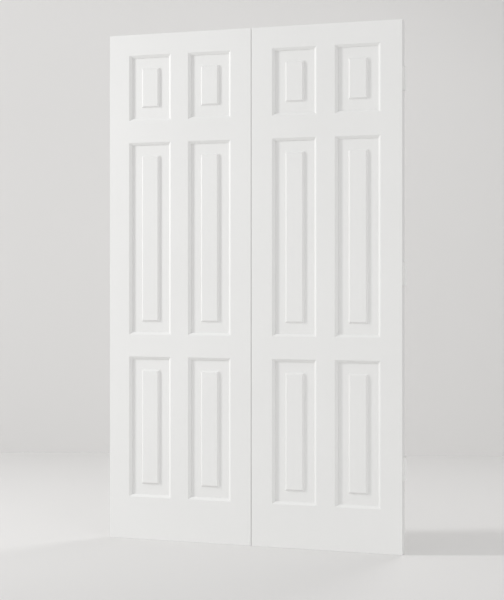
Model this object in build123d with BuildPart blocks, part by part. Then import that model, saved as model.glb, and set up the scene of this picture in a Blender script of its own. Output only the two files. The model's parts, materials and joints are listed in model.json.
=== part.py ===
"""A pair of six-panel interior door leaves on butt hinges, in millimetres.

X runs across the pair, the front looks along -Y and Z is up. The origin is at the bottom edge, in the
middle of the seam between the leaves and half way through their thickness.
"""

from build123d import *
import math
import os

os.makedirs("parts", exist_ok=True)

# Leaves
leaf_width = 609.6
leaf_height = 2032
leaf_thickness = 35
meeting_gap = 2
arris_radius = 1

# Frame of a leaf, as its widths show on the face
stile_width = 85.5
mullion_width = 74.4
top_rail_height = 83.7
top_opening_height = 264.6
frieze_rail_height = 87.3
lock_rail_height = 88
bottom_opening_height = 565.5
bottom_rail_height = 169.7

# Moulded edge of the frame around each panel, and the groove that holds the panel
moulding_run = 10.5
moulding_drop = 8.2
lip_height = 2.8
groove_depth = 8

# Raised panels
panel_margin = 42
bevel_run = 6.5
field_inset = 3.4
panel_side_fit = 0.1
panel_end_fit = 0.6

# Dowels between rails and stiles
dowel_radius = 4
dowel_length = 90
dowel_side_fit = 0.1
dowel_end_fit = 0.8
dowel_row_shares = (0.25, 0.75)
bottom_dowel_row_shares = (0.2, 0.5, 0.8)

# Butt hinges, let into the outer edge of each leaf with their barrels behind the back face
hinge_height = 89
plate_thickness = 2.2
plate_gap = 1
plate_setback = 4
plate_corner_radius = 6
plate_fit = 0.2
frame_gap = 2
pin_radius = 2.5
pin_fit = 0.05
pin_head_height = 2.5
pin_head_rounding = 1
pin_tip_chamfer = 0.8
knuckle_wall = 2.2
knuckle_count = 5
knuckle_end_gap = 0.3
barrel_clearance = 0.5
top_hinge_drop = 178
bottom_hinge_rise = 279

# Hinge screws, placed by shares of the plate's height from its middle and of its width from the barrel,
# so that the heads in the two plates of a hinge lie beside each other
screw_length = 32
screw_hole_radius = 2.2
screw_head_radius = 3.8
screw_head_angle = 82
screw_shank_radius = 1.9
screw_tip_length = 6
screw_fit = 0.05
screw_end_room = 1
screw_cross_width = 0.9
screw_cross_length = 4
screw_cross_depth = 1.1
door_screw_shares = ((0.36, 0.32), (0.14, 0.68))
frame_screw_shares = ((0.36, 0.68), (0.14, 0.32))

# Overrun of cuts past the faces they open
overrun = 1

# Worked-out sizes
front = -leaf_thickness / 2
back = leaf_thickness / 2
panel_thickness = leaf_thickness - 2 * (moulding_drop + lip_height)
groove_half = panel_thickness / 2 + panel_side_fit
field_half = leaf_thickness / 2 - field_inset
opening_width = (leaf_width - 2 * stile_width - mullion_width) / 2
bed_width = stile_width + moulding_run - groove_depth
outer_edge = meeting_gap / 2 + leaf_width

bottom_rail_top = bottom_rail_height
lock_rail_bottom = bottom_rail_top + bottom_opening_height
lock_rail_top = lock_rail_bottom + lock_rail_height
top_rail_bottom = leaf_height - top_rail_height
frieze_rail_top = top_rail_bottom - top_opening_height
frieze_rail_bottom = frieze_rail_top - frieze_rail_height

knuckle_radius = pin_radius + pin_fit + knuckle_wall
knuckle_pitch = hinge_height / knuckle_count
plate_far_y = front + plate_setback
plate_depth = plate_gap / 2 + plate_thickness
pin_out = outer_edge + frame_gap - plate_depth
pin_y = back + barrel_clearance + knuckle_radius
seat_depth = 2 * plate_depth - frame_gap
hinge_levels = {
    "top": leaf_height - top_hinge_drop - hinge_height / 2,
    "middle": (leaf_height - top_hinge_drop + bottom_hinge_rise) / 2,
    "bottom": bottom_hinge_rise + hinge_height / 2,
}

# Each rail's lower and upper face edge, and its dowels' places between them
rails = {
    "top": (top_rail_bottom, leaf_height, dowel_row_shares),
    "frieze": (frieze_rail_bottom, frieze_rail_top, dowel_row_shares),
    "lock": (lock_rail_bottom, lock_rail_top, dowel_row_shares),
    "bottom": (0, bottom_rail_top, bottom_dowel_row_shares),
}

# Each row of panels, from the rail under it to the rail over it
rows = {"top": ("frieze", "top"), "middle": ("lock", "frieze"), "bottom": ("bottom", "lock")}


def moulded_edge(face_edge, toward):
    """Section of an edge that meets panels, as (across, depth) points from the front face to the back."""
    sight = face_edge + toward * moulding_run
    bed = sight - toward * groove_depth
    return [
        (face_edge, front),
        (sight, front + moulding_drop),
        (sight, -groove_half),
        (bed, -groove_half),
        (bed, groove_half),
        (sight, groove_half),
        (sight, back - moulding_drop),
        (face_edge, back),
    ]


def plain_edge(at):
    """Section of an outer edge of the leaf, from the front face to the back."""
    return [(at, front), (at, back)]


def ring(low_edge, high_edge):
    """Closed section of a frame member, from the points of its two edges."""
    return low_edge + high_edge[::-1]


def raised_section(low, high):
    """Section across a panel whose opening runs from low to high on the frame's face."""
    tongue = moulding_run - groove_depth + panel_end_fit
    foot = moulding_run + panel_margin
    field = foot + bevel_run
    half = panel_thickness / 2
    return [
        (low + tongue, -half),
        (low + foot, -half),
        (low + field, -field_half),
        (high - field, -field_half),
        (high - foot, -half),
        (high - tongue, -half),
        (high - tongue, half),
        (high - foot, half),
        (high - field, field_half),
        (low + field, field_half),
        (low + foot, half),
        (low + tongue, half),
    ]


def turned(points):
    """The same section for a member that runs across, with depth first."""
    return [(depth, across) for across, depth in points]


def dowel_places(side, rail_names):
    """Places on the joints of the named rails with both stiles, with Z along the dowel."""
    places = []
    for rail_name in rail_names:
        low, high, row_shares = rails[rail_name]
        for share in row_shares:
            for from_outer in (bed_width, leaf_width - bed_width):
                at = (side * (outer_edge - from_outer), 0, low + share * (high - low))
                places.append(Plane(origin=at, z_dir=(1, 0, 0)))
    return places


def screw_places(side, level, toward, screw_shares):
    """Places of one plate's screws on its open face, with Z out of the plate."""
    places = []
    for up_share, across_share in screw_shares:
        for up in (-up_share, up_share):
            at = (
                side * pin_out + toward * plate_gap / 2,
                back + across_share * (plate_far_y - back),
                level + up * hinge_height,
            )
            places.append(Plane(origin=at, z_dir=(-toward, 0, 0)))
    return places


def door_screw_places(side):
    """Places of all the screws that hold the plates of one leaf."""
    places = []
    for level in hinge_levels.values():
        places += screw_places(side, level, -side, door_screw_shares)
    return places


def save(piece, name):
    piece.part.label = name
    export_step(piece.part, f"parts/{name}.step")


def make_stile(side, outer_x, toward):
    """An upright of the leaf: plain outer edge at outer_x, moulded edge toward the panels."""
    with BuildPart() as stile:
        with BuildSketch(Plane.XY):
            with BuildLine():
                face_edge = outer_x + toward * stile_width
                Polyline(*ring(plain_edge(outer_x), moulded_edge(face_edge, toward)), close=True)
            make_face()
        extrude(amount=leaf_height)
        outer_face = stile.faces().sort_by(Axis.X)[0 if toward > 0 else -1]
        end_edges = stile.edges().filter_by(Axis.X).group_by(Axis.Y)
        fillet(outer_face.edges() + end_edges[0] + end_edges[-1], arris_radius)
        with Locations(*dowel_places(side, rails)):
            Cylinder(
                dowel_radius + dowel_side_fit,
                dowel_length + 2 * dowel_end_fit,
                mode=Mode.SUBTRACT,
            )
    return stile


def cut_hinge_seats(stile, side):
    """The hinge stile with a seat for each door plate and holes for its screws."""
    with BuildPart() as seated:
        add(stile.part)
        for level in hinge_levels.values():
            with BuildSketch(Plane.YZ.offset(side * outer_edge)) as seat:
                with BuildLine():
                    Polyline(*plate_corners(level, plate_fit, back + overrun), close=True)
                make_face()
                fillet(seat.vertices().group_by(Axis.X)[0], plate_corner_radius + plate_fit)
            extrude(amount=-side * seat_depth, mode=Mode.SUBTRACT)
        with Locations(*door_screw_places(side)):
            Hole(screw_shank_radius + screw_fit, depth=screw_length + screw_end_room)
    return seated


def plate_corners(level, margin, near_y):
    """Corners of a hinge plate's outline with a margin around it, as (y, z) points."""
    reach = hinge_height / 2 + margin
    return [
        (plate_far_y - margin, level - reach),
        (near_y, level - reach),
        (near_y, level + reach),
        (plate_far_y - margin, level + reach),
    ]


def make_rail(side, rail_name, stiles):
    """A cross member of the leaf, its ends shaped over the moulding of both stiles."""
    low, high = rails[rail_name][:2]
    low_edge = plain_edge(low) if rail_name == "bottom" else moulded_edge(low, -1)
    high_edge = plain_edge(high) if rail_name == "top" else moulded_edge(high, 1)
    with BuildPart() as rail:
        with BuildSketch(Plane.YZ.offset(side * (outer_edge - stile_width))) as section:
            with BuildLine():
                Polyline(*turned(ring(low_edge, high_edge)), close=True)
            make_face()
            if rail_name == "top":
                fillet(section.vertices().group_by(Axis.Y)[-1], arris_radius)
            if rail_name == "bottom":
                fillet(section.vertices().group_by(Axis.Y)[0], arris_radius)
        extrude(amount=-side * (leaf_width - 2 * stile_width))
        for stile in stiles:
            add(stile.part, mode=Mode.SUBTRACT)
        with Locations(*dowel_places(side, [rail_name])):
            Cylinder(
                dowel_radius + dowel_side_fit,
                dowel_length + 2 * dowel_end_fit,
                mode=Mode.SUBTRACT,
            )
    return rail


def make_mullion(side, low_rail, high_rail, bounds):
    """A short upright between two panels, its ends shaped over the moulding of both rails."""
    middle_x = side * (outer_edge - leaf_width / 2)
    low, high = bounds
    with BuildPart() as mullion:
        with BuildSketch(Plane.XY.offset(low)):
            with BuildLine():
                left_edge = moulded_edge(middle_x - mullion_width / 2, -1)
                right_edge = moulded_edge(middle_x + mullion_width / 2, 1)
                Polyline(*ring(left_edge, right_edge), close=True)
            make_face()
        extrude(amount=high - low)
        add(low_rail.part, mode=Mode.SUBTRACT)
        add(high_rail.part, mode=Mode.SUBTRACT)
    return mullion


def make_panel(left, bounds):
    """A panel raised on both faces, in the opening that starts at left on the frame's face."""
    low, high = bounds
    with BuildPart() as panel:
        with BuildSketch(Plane.XY.offset(low)):
            with BuildLine():
                Polyline(*raised_section(left, left + opening_width), close=True)
            make_face()
        extrude(amount=high - low)
        with BuildSketch(Plane.YZ.offset(left)):
            with BuildLine():
                Polyline(*turned(raised_section(low, high)), close=True)
            make_face()
        extrude(amount=opening_width, mode=Mode.INTERSECT)
    return panel


def make_dowels(side):
    """All the dowels of one leaf."""
    with BuildPart() as dowels:
        with Locations(*dowel_places(side, rails)):
            Cylinder(dowel_radius, dowel_length)
    return dowels


def make_hinge_plate(side, level, toward, knuckles, screw_shares):
    """Half of a butt hinge: a plate with its own knuckles, on the side of the pin that toward gives."""
    pin_x = side * pin_out
    bottom = level - hinge_height / 2
    with BuildPart() as plate:
        with BuildSketch(Plane.YZ.offset(pin_x + toward * plate_gap / 2)) as outline:
            with BuildLine():
                Polyline(*plate_corners(level, 0, back), close=True)
            make_face()
            fillet(outline.vertices().group_by(Axis.X)[0], plate_corner_radius)
            for knuckle in knuckles:
                middle = bottom + (knuckle + 1 / 2) * knuckle_pitch
                with Locations(((back + pin_y) / 2, middle)):
                    Rectangle(pin_y - back, knuckle_pitch - knuckle_end_gap)
        extrude(amount=toward * plate_thickness)
        for knuckle in knuckles:
            start = bottom + knuckle * knuckle_pitch + knuckle_end_gap / 2
            with BuildSketch(Plane.XY.offset(start)):
                with Locations((pin_x, pin_y)):
                    Circle(knuckle_radius)
            extrude(amount=knuckle_pitch - knuckle_end_gap)
        with BuildSketch(Plane.XY.offset(bottom)):
            with Locations((pin_x, pin_y)):
                Circle(pin_radius + pin_fit)
        extrude(amount=hinge_height, mode=Mode.SUBTRACT)
        with Locations(*screw_places(side, level, toward, screw_shares)):
            CounterSinkHole(
                screw_hole_radius,
                screw_head_radius,
                counter_sink_angle=screw_head_angle,
            )
    return plate


def make_pin(side, level):
    """A hinge pin with a button head on the top knuckle."""
    bottom = level - hinge_height / 2
    head_seat = level + hinge_height / 2 - knuckle_end_gap / 2
    with BuildPart() as pin:
        with BuildSketch(Plane.XY.offset(bottom)):
            with Locations((side * pin_out, pin_y)):
                Circle(pin_radius)
        extrude(amount=head_seat - bottom)
        chamfer(pin.edges().group_by(Axis.Z)[0], pin_tip_chamfer)
        with BuildSketch(Plane.XY.offset(head_seat)):
            with Locations((side * pin_out, pin_y)):
                Circle(knuckle_radius)
        extrude(amount=pin_head_height)
        fillet(pin.edges().group_by(Axis.Z)[-1], pin_head_rounding)
    return pin


def make_screw():
    """A countersunk wood screw with a cross recess, its head's top at the origin and its tip below."""
    head_radius = screw_head_radius - screw_fit
    head_height = (head_radius - screw_shank_radius) / math.tan(math.radians(screw_head_angle / 2))
    with BuildPart() as screw:
        with BuildSketch(Plane.XZ):
            with BuildLine():
                Polyline(
                    (0, 0),
                    (head_radius, 0),
                    (screw_shank_radius, -head_height),
                    (screw_shank_radius, screw_tip_length - screw_length),
                    (0, -screw_length),
                    close=True,
                )
            make_face()
        revolve(axis=Axis.Z)
        with BuildSketch(Plane.XY):
            Rectangle(screw_cross_length, screw_cross_width)
            Rectangle(screw_cross_width, screw_cross_length)
        extrude(amount=-screw_cross_depth, mode=Mode.SUBTRACT)
    return screw


def make_screws(side):
    """All the screws that hold the door plates of one leaf."""
    screw = make_screw()
    with BuildPart() as screws:
        with Locations(*door_screw_places(side)):
            add(screw.part)
    return screws


def make_leaf(side, side_name):
    """All the pieces of one leaf: side is -1 for the left one and 1 for the right one."""
    hinge_stile = cut_hinge_seats(make_stile(side, side * outer_edge, -side), side)
    meeting_stile = make_stile(side, side * (outer_edge - leaf_width), side)
    save(hinge_stile, f"{side_name}_hinge_stile")
    save(meeting_stile, f"{side_name}_meeting_stile")

    built_rails = {}
    for rail_name in rails:
        built_rails[rail_name] = make_rail(side, rail_name, (hinge_stile, meeting_stile))
        save(built_rails[rail_name], f"{side_name}_{rail_name}_rail")

    middle_x = side * (outer_edge - leaf_width / 2)
    panel_lefts = {
        "outer": middle_x + side * (mullion_width + opening_width) / 2 - opening_width / 2,
        "inner": middle_x - side * (mullion_width + opening_width) / 2 - opening_width / 2,
    }
    for row_name, (low_rail, high_rail) in rows.items():
        bounds = (rails[low_rail][1], rails[high_rail][0])
        mullion = make_mullion(side, built_rails[low_rail], built_rails[high_rail], bounds)
        save(mullion, f"{side_name}_{row_name}_mullion")
        for place, left in panel_lefts.items():
            save(make_panel(left, bounds), f"{side_name}_{row_name}_{place}_panel")

    save(make_dowels(side), f"{side_name}_dowels")


def make_hinges(side, side_name):
    """The hinges and hinge screws of one leaf."""
    for hinge_name, level in hinge_levels.items():
        name = f"{side_name}_{hinge_name}_hinge"
        door_knuckles = range(1, knuckle_count, 2)
        frame_knuckles = range(0, knuckle_count, 2)
        door_plate = make_hinge_plate(side, level, -side, door_knuckles, door_screw_shares)
        frame_plate = make_hinge_plate(side, level, side, frame_knuckles, frame_screw_shares)
        save(door_plate, f"{name}_door_plate")
        save(frame_plate, f"{name}_frame_plate")
        save(make_pin(side, level), f"{name}_pin")
    save(make_screws(side), f"{side_name}_hinge_screws")


for side_sign, name_of_side in ((-1, "left"), (1, "right")):
    make_leaf(side_sign, name_of_side)
    make_hinges(side_sign, name_of_side)
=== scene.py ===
"""The finishes, stage, light and camera for a pair of white panelled door leaves, in metres.

X runs across the pair, the front looks along -Y and Z is up, with the origin under the seam.
"""

import json
import math
import bpy
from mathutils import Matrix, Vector


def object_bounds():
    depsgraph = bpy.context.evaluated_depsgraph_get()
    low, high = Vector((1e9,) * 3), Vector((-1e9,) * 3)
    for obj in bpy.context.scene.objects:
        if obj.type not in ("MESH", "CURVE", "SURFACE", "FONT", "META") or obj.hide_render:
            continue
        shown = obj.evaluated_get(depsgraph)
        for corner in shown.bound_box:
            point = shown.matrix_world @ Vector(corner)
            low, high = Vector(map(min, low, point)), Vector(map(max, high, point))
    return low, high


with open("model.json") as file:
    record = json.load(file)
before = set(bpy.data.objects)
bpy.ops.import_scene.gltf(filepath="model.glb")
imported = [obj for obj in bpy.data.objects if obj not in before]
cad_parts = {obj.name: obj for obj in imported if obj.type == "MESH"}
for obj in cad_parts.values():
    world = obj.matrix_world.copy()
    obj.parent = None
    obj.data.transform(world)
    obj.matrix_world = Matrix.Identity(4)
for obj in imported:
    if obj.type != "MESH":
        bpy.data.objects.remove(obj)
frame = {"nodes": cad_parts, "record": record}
cad_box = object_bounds()

# Camera: level, to the right of the pair, with the horizon a little above the picture's middle
camera_place = Vector((2.139, -5.796, 1.043))
camera_turn = math.radians(20.28)
camera_lens = 94.25
camera_rise_share = -0.0332
camera_reach = 100

# Stage: a matt floor, and a wall nearly square to the camera
wall_distance = 9.41
wall_turn = math.radians(16.28)
stage_width = 40
wall_height = 12
floor_tone = 0.755
wall_tone = 0.735
stage_dark_shares = (0.994, 0.984, 0.973)
stage_pale_shares = (1.006, 0.996, 0.985)
stage_roughness = 0.9
stage_gloss = 0.2

# Lights, each as its place, width, height and power, and how widely they spread
light_spread = math.radians(150)
strip_box = (Vector((-5.0, -2.11, 2.9)), 0.6, 2.3, 111)
fill_box = (Vector((5.0, -5.0, 1.0)), 2.0, 2.0, 41)
back_box = (Vector((0.6, 2.2, 4.0)), 1.0, 1.0, 19)
room_light = 0.709

# Finishes: the two colours that each one varies between, and the two roughnesses
paint_colours = ((0.80, 0.80, 0.791), (0.815, 0.815, 0.806))
paint_roughness = (0.59, 0.69)
enamel_colours = ((0.87, 0.87, 0.86), (0.90, 0.90, 0.89))
enamel_roughness = (0.26, 0.34)
zinc_colours = ((0.52, 0.52, 0.50), (0.64, 0.64, 0.63))
zinc_roughness = (0.28, 0.42)
beech_colours = ((0.46, 0.27, 0.13), (0.62, 0.42, 0.24))
beech_roughness = (0.7, 0.55)

# Patterns in the finishes, each as its features in a metre and its layers of detail
brush_strokes = (420, 4)
paint_stipple = (1500, 2)
paint_drift = (2.5, 2)
enamel_peel = (900, 2)
enamel_drift = (40, 3)
drawn_lines = (6000, 2)
zinc_bloom = (220, 3)
beech_grain = (900, 4)
stage_drift = (0.6, 2)
pattern_low = 0.3
pattern_high = 0.7

# Shares by which a pattern that runs along a piece is stretched, and heights of those that can be felt
upright_strokes = (1, 1, 0.04)
across_strokes = (0.04, 1, 1)
lines_around = (0.1, 0.1, 1)
grain_along = (0.08, 1, 1)
stroke_height = 0.00003
stipple_height = 0.00001
peel_height = 0.00002
line_height = 0.000004
grain_height = 0.00005


def link(material, source, target):
    """Joins two sockets of a material."""
    material.node_tree.links.new(source, target)


def node(material, kind, values=None, **links):
    """Adds a node to a material, sets its sockets to values and links other sockets to it."""
    made = material.node_tree.nodes.new(kind)
    for name, value in (values or {}).items():
        made.inputs[name].default_value = value
    for name, source in links.items():
        link(material, source, made.inputs[name])
    return made


def new_finish(name):
    """A new material, its surface shader and the places on the piece that its patterns read."""
    material = bpy.data.materials.new(name)
    material.use_nodes = True
    place = node(material, "ShaderNodeTexCoord").outputs["Object"]
    return material, material.node_tree.nodes["Principled BSDF"], place


def stretched(material, place, shares):
    """The places on a piece, scaled by shares so that a pattern runs long where a share is small."""
    return node(material, "ShaderNodeMapping", {"Scale": shares}, Vector=place).outputs["Vector"]


def noise(material, place, features, detail):
    """Cloudy noise with a number of features in a metre."""
    made = node(material, "ShaderNodeTexNoise", {"Scale": features, "Detail": detail}, Vector=place)
    return made.outputs["Fac"]


def spread(material, pattern, low, high):
    """A pattern's middle range stretched from low to high."""
    limits = {"From Min": pattern_low, "From Max": pattern_high, "To Min": low, "To Max": high}
    return node(material, "ShaderNodeMapRange", limits, Value=pattern).outputs["Result"]


def tint(material, pattern, first, second):
    """A colour that goes from the first to the second as a pattern rises."""
    ramp = node(material, "ShaderNodeValToRGB", Fac=pattern)
    ramp.color_ramp.elements[0].position = pattern_low
    ramp.color_ramp.elements[1].position = pattern_high
    ramp.color_ramp.elements[0].color = (*first, 1)
    ramp.color_ramp.elements[1].color = (*second, 1)
    return ramp.outputs["Color"]


def raised(material, pattern, height, under=None):
    """A bump of that height in metres, on top of another one."""
    bump = node(material, "ShaderNodeBump", {"Strength": 1, "Distance": height}, Height=pattern)
    if under:
        link(material, under, bump.inputs["Normal"])
    return bump.outputs["Normal"]


def coat(material, shader, colour, roughness, relief):
    """Links the colour, roughness and relief of a finish to its shader."""
    link(material, colour, shader.inputs["Base Color"])
    link(material, roughness, shader.inputs["Roughness"])
    link(material, relief, shader.inputs["Normal"])


def satin_paint(name, stroke_shares):
    """Satin white paint on wood, laid off along the grain of the piece."""
    material, shader, place = new_finish(name)
    strokes = noise(material, stretched(material, place, stroke_shares), *brush_strokes)
    stipple = noise(material, place, *paint_stipple)
    drift = noise(material, place, *paint_drift)
    colour = tint(material, drift, *paint_colours)
    roughness = spread(material, strokes, *paint_roughness)
    laid_off = raised(material, strokes, stroke_height)
    coat(material, shader, colour, roughness, raised(material, stipple, stipple_height, laid_off))
    return material


def hinge_enamel():
    """Baked white enamel on the hinge plates, with a fine orange peel."""
    material, shader, place = new_finish("hinge_enamel")
    peel = noise(material, place, *enamel_peel)
    drift = noise(material, place, *enamel_drift)
    colour = tint(material, drift, *enamel_colours)
    roughness = spread(material, peel, *enamel_roughness)
    coat(material, shader, colour, roughness, raised(material, peel, peel_height))
    return material


def zinc_plate():
    """Zinc-plated steel of the hinge pins and screws, with fine drawn lines around it."""
    material, shader, place = new_finish("zinc_plate")
    lines = noise(material, stretched(material, place, lines_around), *drawn_lines)
    bloom = noise(material, place, *zinc_bloom)
    colour = tint(material, bloom, *zinc_colours)
    roughness = spread(material, lines, *zinc_roughness)
    coat(material, shader, colour, roughness, raised(material, lines, line_height))
    shader.inputs["Metallic"].default_value = 1
    return material


def bare_beech():
    """Bare beech of the dowels, with pale flecks along them."""
    material, shader, place = new_finish("bare_beech")
    grain = noise(material, stretched(material, place, grain_along), *beech_grain)
    colour = tint(material, grain, *beech_colours)
    roughness = spread(material, grain, *beech_roughness)
    coat(material, shader, colour, roughness, raised(material, grain, grain_height))
    return material


def finish_pieces():
    """Gives every piece of the pair its finish, with the strokes of the rails laid across."""
    rail_paint = satin_paint("across_satin_paint", across_strokes)
    slots = {
        "door_paint": satin_paint("upright_satin_paint", upright_strokes),
        "hinge_paint": hinge_enamel(),
        "steel": zinc_plate(),
        "dowel_wood": bare_beech(),
    }
    for part in frame["record"]["subparts"]:
        piece = frame["nodes"][part["node"]]
        finish = rail_paint if part["node"].endswith("_rail") else slots[part["material_slot"]]
        piece.data.materials.clear()
        piece.data.materials.append(finish)


def stage_paint(name, tone):
    """Matt pale grey of a tone for the floor or wall, which shows only its front."""
    material, shader, place = new_finish(name)
    drift = noise(material, place, *stage_drift)
    dark = [tone * share for share in stage_dark_shares]
    pale = [tone * share for share in stage_pale_shares]
    link(material, tint(material, drift, dark, pale), shader.inputs["Base Color"])
    shader.inputs["Roughness"].default_value = stage_roughness
    shader.inputs["Specular IOR Level"].default_value = stage_gloss
    clear = node(material, "ShaderNodeBsdfTransparent")
    behind = node(material, "ShaderNodeNewGeometry").outputs["Backfacing"]
    shown = node(material, "ShaderNodeMixShader", Fac=behind)
    link(material, shader.outputs["BSDF"], shown.inputs[1])
    link(material, clear.outputs["BSDF"], shown.inputs[2])
    surface = material.node_tree.nodes["Material Output"].inputs["Surface"]
    link(material, shown.outputs["Shader"], surface)
    return material


def make_stage():
    """A floor under the pair and a wall behind it."""
    forward = Vector((-math.sin(camera_turn), math.cos(camera_turn), 0))
    corner = camera_place + forward * wall_distance
    bpy.ops.object.select_all(action="DESELECT")
    bpy.ops.mesh.primitive_plane_add(size=stage_width, location=(0, 0, 0))
    floor = bpy.context.object
    bpy.ops.mesh.primitive_plane_add(
        size=1,
        location=(corner.x, corner.y, wall_height / 2),
        rotation=(math.pi / 2, 0, wall_turn),
    )
    wall = bpy.context.object
    wall.scale = (stage_width, wall_height, 1)
    for name, sheet, tone in (("floor", floor, floor_tone), ("wall", wall, wall_tone)):
        sheet.name = name
        sheet.data.materials.append(stage_paint(name + "_paint", tone))


def soft_light(name, place, width, height, power):
    """An upright soft box at a place, turned to the middle of the pair."""
    middle = (cad_box[0] + cad_box[1]) / 2
    turn = (middle - place).to_track_quat("-Z", "Y").to_euler()
    bpy.ops.object.light_add(type="AREA", location=place, rotation=turn)
    light = bpy.context.object
    light.name = name
    light.data.shape = "RECTANGLE"
    light.data.size = width
    light.data.size_y = height
    light.data.spread = light_spread
    light.data.energy = power


def light_stage():
    """Soft studio light: a tall box on the left, a fill on the right, one behind and the room's own."""
    soft_light("strip_box", *strip_box)
    soft_light("fill_box", *fill_box)
    soft_light("back_box", *back_box)
    room = bpy.data.worlds.new("room_light")
    room.use_nodes = True
    background = room.node_tree.nodes["Background"]
    background.inputs["Color"].default_value = (1, 1, 1, 1)
    background.inputs["Strength"].default_value = room_light
    bpy.context.scene.world = room
    bpy.context.scene.view_settings.view_transform = "Standard"


def place_camera():
    """The camera, level and turned to the pair."""
    bpy.ops.object.camera_add(location=camera_place, rotation=(math.pi / 2, 0, camera_turn))
    camera = bpy.context.object
    camera.name = "camera"
    camera.data.lens = camera_lens
    camera.data.shift_y = camera_rise_share
    camera.data.clip_end = camera_reach
    bpy.context.scene.camera = camera


finish_pieces()
make_stage()
light_stage()
place_camera()
